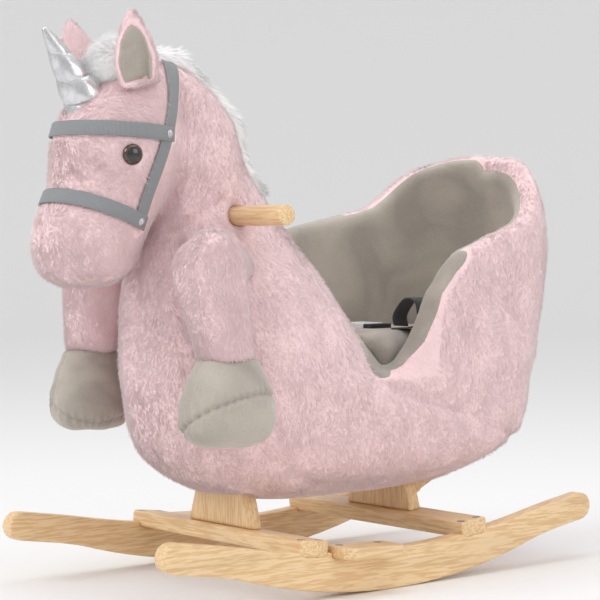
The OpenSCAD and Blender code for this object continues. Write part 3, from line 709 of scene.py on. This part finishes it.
def grow(name, piece, count, keep, comb, length, width, hairs, lift=0.55, tuft=0.022, droop=0.25,
         segments=1, loose=0.4, inside=everywhere):
    feet, normals, area = roots(piece, count, inside, keep)
    wanted = np.array(comb(feet)) if callable(comb) else np.tile(comb, (len(feet), 1))
    flow = wanted + loose * smooth_noise(feet, tuft, 5) + 0.5 * loose * smooth_noise(feet, tuft / 3, 6)
    flow -= normals * (flow * normals).sum(1)[:, None]
    flow /= np.maximum(np.linalg.norm(flow, axis=1), 0.3)[:, None]
    lean = normals * lift + flow + random.normal(scale=0.16, size=feet.shape)
    lean /= np.linalg.norm(lean, axis=1)[:, None]
    swell = 1 + 0.25 * smooth_noise(feet, tuft * 0.8, 9)[:, 0]
    lengths = length * random.uniform(0.6, 1.1, len(feet)) * swell
    widths = width * random.uniform(0.7, 1.2, len(feet))
    mesh, per, sides = strand_mesh(name, feet - normals * 0.001, normals, lean, lengths, widths,
                                   flow * droop, segments)
    for material in hairs:
        mesh.materials.append(material)
    shade = np.repeat(random.integers(0, len(hairs), len(feet)), sides)
    mesh.polygons.foreach_set("material_index", shade.astype(np.int32))
    soft = np.repeat(normals * 0.8 + lean * 0.45, per, axis=0)
    soft /= np.linalg.norm(soft, axis=1)[:, None]
    mesh.shade_smooth()
    mesh.normals_split_custom_set_from_vertices(soft.tolist())
    fur = new_object(name, mesh)
    print(name, len(feet), "strands,", round(len(feet) / (area * 1e6), 2), "per mm2")
    return fur


# %% [markdown]
# ## Bridle webbing
# The bridle is flat ribbon that presses into the pile. Its routes are found by casting rays at the
# skin, so each ribbon follows the head. The same routes say where no pile grows.

# %% Find the ribbons' routes on the head
head_skin = BVHTree.FromObject(plush, bpy.context.evaluated_depsgraph_get())
rivets_low, rivets_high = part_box("bridle_rivets")
rivet_radius = 0.0045
brow_rivet = (rivets_high.y - rivet_radius, rivets_high.z - rivet_radius)
nose_rivet = (rivets_low.y + rivet_radius, rivets_low.z + rivet_radius)
ribbon_width = 0.016


def touch(outside, inside):
    """The first point of the skin on the way from outside to inside, and its normal."""
    start, end = Vector(outside), Vector(inside)
    hit, normal, _, _ = head_skin.ray_cast(start, (end - start).normalized(), (end - start).length)
    return (np.array(hit), np.array(normal)) if hit is not None else None


def around(centre, tilt, first, last, steps, reach=0.16):
    """A route round the head: rays in a tilted plane, from one angle to another, in degrees."""
    tilt = math.radians(tilt)
    ahead = Vector((0, -math.cos(tilt), -math.sin(tilt)))
    found = []
    for k in range(steps + 1):
        angle = math.radians(first + (last - first) * k / steps)
        ray = Vector((1, 0, 0)) * math.sin(angle) + ahead * math.cos(angle)
        found.append(touch(Vector(centre) + ray * reach, centre))
    return [f for f in found if f is not None]


def clean(route, passes=3):
    """Evens out a route's points and normals, and keeps its two ends."""
    at, out = np.array([r[0] for r in route]), np.array([r[1] for r in route])
    for _ in range(passes):
        at[1:-1] = (at[:-2] + 2 * at[1:-1] + at[2:]) / 4
        out[1:-1] = (out[:-2] + 2 * out[1:-1] + out[2:]) / 4
    return at, out / np.linalg.norm(out, axis=1)[:, None]


brow_centre = (0, brow_rivet[0] + 0.004, brow_rivet[1])
nose_centre = (0, nose_rivet[0] + 0.004, nose_rivet[1])
routes = {
    "browband": clean(around(brow_centre, -3, -93, 93, 60)),
    "noseband": clean(around(nose_centre, -20, -94, 94, 60)),
}
for side, out in (("left", 1), ("right", -1)):
    rows = []
    for k in range(31):
        t = -0.04 + 1.10 * k / 30
        y = brow_rivet[0] + (nose_rivet[0] - brow_rivet[0]) * t
        z = brow_rivet[1] + (nose_rivet[1] - brow_rivet[1]) * t
        rows.append(touch((out * 0.16, y, z), (0, y, z)))
    routes[f"cheek_strap_{side}"] = clean([r for r in rows if r is not None])
crown = []
for k in range(49):
    angle = math.radians(-108 + 216 * k / 48)
    lean = math.radians(20)
    up = Vector((0, math.sin(lean), math.cos(lean)))
    centre = Vector((0, brow_rivet[0], brow_rivet[1])) + up * 0.012
    ray = Vector((1, 0, 0)) * math.sin(angle) + up * math.cos(angle)
    crown.append(touch(centre + ray * 0.14, centre))
routes["crown_strap"] = clean([c for c in crown if c is not None])
print({name: len(route[0]) for name, route in routes.items()})


# %% Sweep a flat band along a route
def band(name, at, out, width, thick, lift, material, close=False):
    """Webbing: a flat section with rounded edges, and a map that runs along it in metres."""
    along = np.gradient(at, axis=0)
    along /= np.linalg.norm(along, axis=1)[:, None]
    across = np.cross(along, out)
    across /= np.linalg.norm(across, axis=1)[:, None]
    up = np.cross(across, along)
    half, bead = width / 2, thick / 2
    outline = [(-half + bead, 0), (-half, bead), (-half + bead, thick), (-half / 3, thick * 1.05),
               (half / 3, thick * 1.05), (half - bead, thick), (half, bead), (half - bead, 0)]
    run = np.concatenate([[0], np.cumsum(np.linalg.norm(np.diff(at, axis=0), axis=1))])
    form = bmesh.new()
    sheet = form.loops.layers.uv.new("along")
    rings = [[form.verts.new(at[i] + across[i] * u + up[i] * (v + lift)) for u, v in outline]
             for i in range(len(at))]
    for i in range(len(at) - 1):
        for k in range(len(outline)):
            m = (k + 1) % len(outline)
            face = form.faces.new((rings[i][k], rings[i][m], rings[i + 1][m], rings[i + 1][k]))
            for loop, (station, corner) in zip(face.loops, ((i, k), (i, m), (i + 1, m), (i + 1, k))):
                loop[sheet].uv = (run[station], outline[corner][0])
    form.faces.new(rings[0][::-1])
    form.faces.new(rings[-1])
    bmesh.ops.recalc_face_normals(form, faces=form.faces)
    mesh = bpy.data.meshes.new(name)
    form.to_mesh(mesh)
    form.free()
    piece = new_object(name, mesh, material)
    piece.data.shade_smooth()
    return piece


lifts = {"browband": 0.0030, "noseband": 0.0030}
for name, (at, out) in routes.items():
    ribbon = band(f"{name}_ribbon", at, out, ribbon_width, 0.0016, lifts.get(name, 0.0012), ribbon_grey)
    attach(ribbon, "body")
    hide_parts(name)
print("ribbons laid")


# %% Rivets where the ribbons meet
def turned(name, profile, centre, axis, material, steps=32):
    """A lathe-turned piece: profile is (radius, height) pairs, from the middle outwards."""
    axis = Vector(axis).normalized()
    aside = axis.orthogonal().normalized()
    third = axis.cross(aside)
    form = bmesh.new()
    rings = []
    for radius, height in profile:
        if radius == 0:
            rings.append([form.verts.new(Vector(centre) + axis * height)])
            continue
        ring = []
        for k in range(steps):
            angle = 2 * math.pi * k / steps
            spoke = aside * math.cos(angle) + third * math.sin(angle)
            ring.append(form.verts.new(Vector(centre) + axis * height + spoke * radius))
        rings.append(ring)
    for one, two in zip(rings[:-1], rings[1:]):
        for k in range(steps):
            m = (k + 1) % steps
            if len(one) == 1:
                form.faces.new((one[0], two[k], two[m]))
            elif len(two) == 1:
                form.faces.new((one[k], two[0], one[m]))
            else:
                form.faces.new((one[k], two[k], two[m], one[m]))
    bmesh.ops.recalc_face_normals(form, faces=form.faces)
    mesh = bpy.data.meshes.new(name)
    form.to_mesh(mesh)
    form.free()
    piece = new_object(name, mesh, material)
    piece.data.shade_smooth()
    return piece


rivet_profile = [(0, 0.0030), (0.0016, 0.0028), (0.0028, 0.0020), (0.0034, 0.0011), (0.0036, 0.0009),
                 (0.0044, 0.0010), (0.0048, 0.0006), (0.0048, -0.001), (0, -0.001)]
for spot, where in (("brow", brow_rivet), ("nose", nose_rivet)):
    for side, out in (("left", 1), ("right", -1)):
        hit = touch((out * 0.16, *where), (0, *where))
        place = hit[0] + hit[1] * 0.0046
        rivet = turned(f"rivet_{spot}_{side}", rivet_profile, place, hit[1], steel.material)
        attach(rivet, "body")
        if (spot, side) == ("brow", "left"):
            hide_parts("bridle_rivets")
print("rivets set")

# %% Grow the pile on the body
cover_tree = {"pink": surface_of("tub_cover", "chest_cover", "belly_cover", "head_cover"),
              "grey": surface_of("tub_lining", "seat_cushion")}
eye_centre = middle("eye_left")


def off_straps(points, room=0.0085):
    near = points[:, 1] < -0.15
    free = np.ones(len(points), bool)
    spots = points[near]
    gap = np.full(len(spots), 9.0)
    for at, _ in routes.values():
        for a, b in zip(at[:-1], at[1:]):
            d = b - a
            t = np.clip((spots - a) @ d / max(d @ d, 1e-12), 0, 1)
            gap = np.minimum(gap, np.linalg.norm(spots - (a + t[:, None] * d), axis=1))
    free[near] = gap > room
    return free


def lining_at(points):
    to_p, to_g = (distances(cover_tree[k], points) for k in ("pink", "grey"))
    return seam_field(points, to_p, to_g)


def body_allowed(points):
    eyes = np.minimum(*[np.linalg.norm(points - np.array([s * eye_centre.x, *eye_centre.yz]), axis=1)
                        for s in (1, -1)])
    free = off_straps(points) & (eyes > 0.0125)
    free &= points[:, 2] > 0.1
    free[free] = lining_at(points[free]) < -0.004
    return free


def combed(points):
    """The pile is brushed back over the head and down the body."""
    on_head = smooth_step(-points[:, 1], 0.22, 0.26) * smooth_step(points[:, 2], 0.36, 0.40)
    down = np.tile([0.0, 0.35, -0.8], (len(points), 1))
    back = np.tile([0.0, 0.8, -0.25], (len(points), 1))
    return down * (1 - on_head[:, None]) + back * on_head[:, None]


zones = {
    "pile_head": lambda p: (p[:, 1] < -0.19) & (p[:, 2] > 0.34),
    "pile_chest": lambda p: (p[:, 1] < -0.03) & ~((p[:, 1] < -0.19) & (p[:, 2] > 0.34)),
    "pile_side_left": lambda p: (p[:, 1] >= -0.03) & (p[:, 0] > 0),
    "pile_side_right": lambda p: (p[:, 1] >= -0.03) & (p[:, 0] <= 0),
}
per_zone = {"pile_head": 44000, "pile_chest": 60000, "pile_side_left": 56000, "pile_side_right": 56000}
pile_length, pile_width = 0.0075, 0.00045
for name, test in zones.items():
    strands = per_zone[name] // 1
    fur = grow(name, plush, strands, body_allowed, combed, pile_length, pile_width, hairs_pink, loose=0.45,
               inside=test)
    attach(fur, "body")


# %% Grow the pile on the legs, and bake their placement into the meshes
for side, leg in legs.items():
    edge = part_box(f"hoof_{side}")[1].z
    fur = grow(f"pile_leg_{side}", leg, 40000,
               lambda p: p[:, 2] > edge - 0.002, (0, 0.1, -1), 0.0065, pile_width, hairs_pink, lift=0.4,
               loose=0.35)
    for piece in (leg, fur):
        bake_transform(piece)
print("pile grown")


# %% [markdown]
# ## Horn
# The horn is a stuffed cone of coated silver cloth, wound with thread that pulls it in. The groove is
# one helix round the cone. It is modelled in the mesh, because it changes the horn's outline.

# %% Horn with its wound groove
horn_foot = Vector((0, -0.2785, 0.509))
horn_low, horn_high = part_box("horn")
horn_axis = (Vector((0, horn_low.y + 0.0025, horn_high.z)) - horn_foot).normalized()
horn_length = (Vector((0, horn_low.y + 0.0025, horn_high.z)) - horn_foot).length
horn_radius = (horn_high.x - horn_low.x) / 2 + 0.003
aside = Vector((1, 0, 0))
third = horn_axis.cross(aside)
rows, spokes, turns = 150, 64, 3.6
form = bmesh.new()
rings = []
for i in range(rows + 1):
    t = i / rows
    ring = []
    for k in range(spokes):
        angle = 2 * math.pi * k / spokes
        wound = (t * (1.25 - 0.25 * t) * turns + angle / (2 * math.pi) + 0.35) % 1.0
        belly = max(0.0, math.sin(math.pi * wound)) ** 0.42
        taper = horn_radius * (1 - t) ** 0.86 + 0.0022
        radius = taper * (0.86 + 0.14 * belly)
        crease = 1 + 0.012 * math.sin(9 * angle + 5 * t) * math.sin(23 * t)
        if t > 0.97:
            radius *= math.sqrt(max(0.0, 1 - ((t - 0.97) / 0.03) ** 2)) + 0.02
        spoke = aside * math.cos(angle) + third * math.sin(angle)
        ring.append(form.verts.new(horn_foot + horn_axis * (horn_length * t) + spoke * radius * crease))
    rings.append(ring)
for one, two in zip(rings[:-1], rings[1:]):
    for k in range(spokes):
        m = (k + 1) % spokes
        form.faces.new((one[k], one[m], two[m], two[k]))
form.faces.new(rings[-1])
form.faces.new(rings[0][::-1])
bmesh.ops.recalc_face_normals(form, faces=form.faces)
mesh = bpy.data.meshes.new("horn_silver")
form.to_mesh(mesh)
form.free()
horn = new_object("horn_silver", mesh, silver_cloth)
horn.data.shade_smooth()
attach(horn, "body")
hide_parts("horn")
print("horn", round(horn_length * 1000), "mm long")


# %% [markdown]
# ## Ears, forelock and mane
# An ear is a folded leaf of plush with a velour lining, so its skin comes from the CAD ear and gets
# pile outside only. The mane and forelock are longer white pile on a narrow strip.

# %% Ears
for side in ("left", "right"):
    ear = soft_skin(f"ear_{side}_plush", [f"ear_{side}"], 0.0016, 8)
    ear.data.materials.append(skin_pink)
    inner = soft_skin(f"ear_{side}_velour", [f"ear_lining_{side}"], 0.0012, 4)
    inner.data.materials.append(grey_velour)
    hollow = surface_of(f"ear_lining_{side}")
    fur = grow(f"pile_ear_{side}", ear, 9000, lambda p: distances(hollow, p) > 0.0035,
               (0, 0.2, 0.6), 0.0055, 0.0003, hairs_pink, tuft=0.012)
    for piece, kind in ((ear, "pink_plush"), (inner, "grey_velour"), (fur, "pink_plush")):
        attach(piece, "body")
    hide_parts(f"ear_{side}")
    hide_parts(f"ear_lining_{side}")

# %% Mane and forelock
for node, count, length, comb in (("mane", 12000, 0.016, (0, 0.75, -0.5)),
                                  ("forelock", 8000, 0.018, (0, -0.9, -0.4))):
    strip = soft_skin(f"{node}_backing", [node], 0.002, 8)
    strip.data.materials.append(skin_white)
    fur = grow(f"{node}_hair", strip, count, everywhere, comb, length, 0.0007,
               hairs_white, lift=0.5, tuft=0.014, droop=0.3, segments=3, loose=0.6)
    for piece in (strip, fur):
        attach(piece, "body")
    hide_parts(node)


# %% [markdown]
# ## Eyes
# A safety eye is a moulded dome: a brown iris ring with a black pupil under clear gloss. A real one
# sits in a small dent of the plush. Here it is turned on a lathe and set on the skin along its normal.

# %% Eyes
eye_radius = (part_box("eye_left")[1].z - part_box("eye_left")[0].z) / 2
for side, out in (("left", 1), ("right", -1)):
    hit = touch((out * 0.16, *eye_centre.yz), (0, *eye_centre.yz))
    dome = [(eye_radius * math.sin(a), eye_radius * 0.62 * math.cos(a))
            for a in [math.radians(d) for d in range(0, 91, 6)]]
    dome = [(r if d else 0, h) for d, (r, h) in enumerate(dome)]
    eye = turned(f"eye_{side}_dome", dome + [(eye_radius * 0.95, -0.003), (0, -0.003)],
                 hit[0] + hit[1] * 0.0005, hit[1], eye_black.material, steps=48)
    eye.data.materials.append(eye_brown.material)
    for face in eye.data.polygons:
        gap = (face.center - Vector(hit[0])).cross(Vector(hit[1])).length
        face.material_index = 1 if gap > eye_radius * 0.72 else 0
    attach(eye, "body")
    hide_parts(f"eye_{side}")
print("eye", round(eye_radius * 2000, 1), "mm")


# %% [markdown]
# ## Wooden parts
# The base is sawn and sanded beech. Real edges are never sharp, and a small round on each edge
# catches the light. A bevel modifier gave dark slivers on these meshes, so a fine voxel copy of each
# part is relaxed a little instead, which rounds every edge by about the same amount.

# %% Round the edges of the wood
def eased(node, name, voxel, material):
    piece = soft_skin(name, [node], voxel, 3)
    piece.data.materials.append(material)
    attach(piece, "body")
    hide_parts(node)
    return piece


wood_grain = {
    "rocker_left": "Y", "rocker_right": "Y", "front_crossbar": "X", "rear_crossbar": "X",
    "footrest_left": "Y", "footrest_right": "Y", "front_support": "Z", "rear_support": "Z",
    "rear_gusset": "X", "handle": "X"}
wood_voxel, plastic_voxel = 0.0016, 0.0006
for node, axis in wood_grain.items():
    eased(node, f"{node}_wood", wood_voxel, beech_along[axis])
for node in ("crossbar_screws", "footrest_screws", "support_screws"):
    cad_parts[node].data.materials.clear()
    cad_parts[node].data.materials.append(steel.material)
print("wood", len(wood_grain), "pieces")


# %% [markdown]
# ## Seat belt
# The lap belt is black webbing with a white side-release buckle. Its free end stands up in a loop
# from the adjuster. The straps are bands along given curves that start at the CAD straps.

# %% Belt straps, loop and buckle
def curve_points(points, count):
    """A smooth curve through a few points (Catmull-Rom)."""
    p = [Vector(x) for x in points]
    p = [p[0] * 2 - p[1]] + p + [p[-1] * 2 - p[-2]]
    found = []
    for i in range(1, len(p) - 2):
        for k in range(count):
            t = k / count
            found.append(0.5 * ((2 * p[i]) + (p[i + 1] - p[i - 1]) * t
                                + (2 * p[i - 1] - 5 * p[i] + 4 * p[i + 1] - p[i + 2]) * t * t
                                + (3 * p[i] - p[i - 1] - 3 * p[i + 1] + p[i + 2]) * t ** 3))
    return np.array(found + [p[-2]])


belt_y, belt_z = middle("belt_strap_left").yz
left_low, left_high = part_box("belt_strap_left")
right_low, right_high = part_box("belt_strap_right")
belt_width = left_high.y - left_low.y
webbing = 0.0018
belts = {
    "belt_strap_left": [
        (left_high.x + 0.003, belt_y + 0.004, belt_z + 0.006), (0.075, belt_y, belt_z + 0.001),
        (left_low.x, belt_y, belt_z - 0.001)],
    "belt_strap_right": [
        (right_high.x, belt_y, belt_z - 0.001), (-0.060, belt_y, belt_z),
        (right_low.x - 0.003, belt_y + 0.003, belt_z + 0.007)]}
for node, path in belts.items():
    at = curve_points(path, 10)
    strap = band(f"{node}_webbing", at, np.tile([0, 0, 1.0], (len(at), 1)), belt_width, webbing, 0,
                 belt_black)
    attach(strap, "body")
    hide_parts(node)
tail_start = np.array([left_low.x, belt_y, belt_z])
tail_route = [(0.004, 0, 0.003), (0.002, 0.001, 0.016), (0.016, 0.004, 0.033), (0.031, 0.006, 0.030),
              (0.036, 0.006, 0.008)]
at = curve_points([tail_start + step for step in tail_route], 12)
tail_length = np.linalg.norm(np.diff(at, axis=0), axis=1).sum()
outward = np.cross(np.gradient(at, axis=0), [0, 1.0, 0])
loop = band("belt_tail_webbing", at, outward / np.linalg.norm(outward, axis=1)[:, None], belt_width * 0.92,
            webbing, 0, belt_black)
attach(loop, "body")
for node, material, kind, body in (("buckle_socket", white_plastic, "white_plastic", "body"),
                                   ("buckle_tongue", black_plastic, "black_plastic", "buckle")):
    piece = eased(node, f"{node}_moulding", plastic_voxel, material.material)
    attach(piece, body)
print("belt laid, its tail is", round(tail_length * 1000), "mm long")

# %% [markdown]
# ## Floor, light and camera
# A wide pale floor curves up all round, which avoids a hard line behind the toy. Large soft lights and a
# bright surrounding keep the shadows open, as in a studio with white walls. The camera stands in front
# and to the rider's left, low, with a long lens.

# %% Studio
cloth_floor = Finish("studio_paper", colour(243, 243, 243), roughness=0.95)
cloth_floor.bump(cloth_floor.noise(cloth_floor.place(), 90), 0.0002, 0.3)
camera_turn = math.radians(50.333)
rise = [(6 + 2 * math.sin(a), 2 - 2 * math.cos(a)) for a in np.linspace(0, math.pi / 2, 17)]
floor = turned("studio_floor", [(0, 0)] + rise + [(8, 2.6)], (0, 0, 0), (0, 0, 1), cloth_floor.material, 96)
floor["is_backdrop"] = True

target = Vector((0, 0, 0.32))


def soft_light(name, place, size, power):
    light = bpy.data.objects.new(name, bpy.data.lights.new(name, "AREA"))
    light.data.shape = "RECTANGLE"
    light.data.size, light.data.size_y = size
    light.data.energy = power
    light.location = place
    light.rotation_euler = (target - Vector(place)).to_track_quat("-Z", "Y").to_euler()
    scene.collection.objects.link(light)


soft_light("key_light", (-0.4, -2.2, 1.9), (1.6, 1.2), 24)
soft_light("side_light", (2.4, 0.5, 1.3), (1.4, 1.4), 10)
soft_light("top_light", (0.2, 0.2, 2.4), (1.8, 1.8), 12)
world = bpy.data.worlds.new("studio_air")
scene.world = world
world.use_nodes = True
world.node_tree.nodes["Background"].inputs["Color"].default_value = (1, 1, 1, 1)
world.node_tree.nodes["Background"].inputs["Strength"].default_value = 0.78
scene.view_settings.view_transform = "Standard"

camera = bpy.data.objects.new("camera", bpy.data.cameras.new("camera"))
scene.collection.objects.link(camera)
camera.data.sensor_width = 36
camera.data.lens = 113.54
pitch, roll = math.radians(1.673), math.radians(-0.134)
back = Vector((math.sin(camera_turn) * math.cos(pitch), -math.cos(camera_turn) * math.cos(pitch),
               math.sin(pitch)))
right = Vector((math.cos(camera_turn), math.sin(camera_turn), 0))
up = back.cross(right)
level = right * math.cos(roll) + up * math.sin(roll)
upright = up * math.cos(roll) - right * math.sin(roll)
camera.matrix_world = Matrix((
    (level.x, upright.x, back.x, 1.6537),
    (level.y, upright.y, back.y, -1.3705),
    (level.z, upright.z, back.z, 0.3714),
    (0, 0, 0, 1)))
scene.camera = camera
print("studio ready")

# %% Print the visual box of the toy
low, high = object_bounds()
print("visual box", tuple(low), tuple(high))
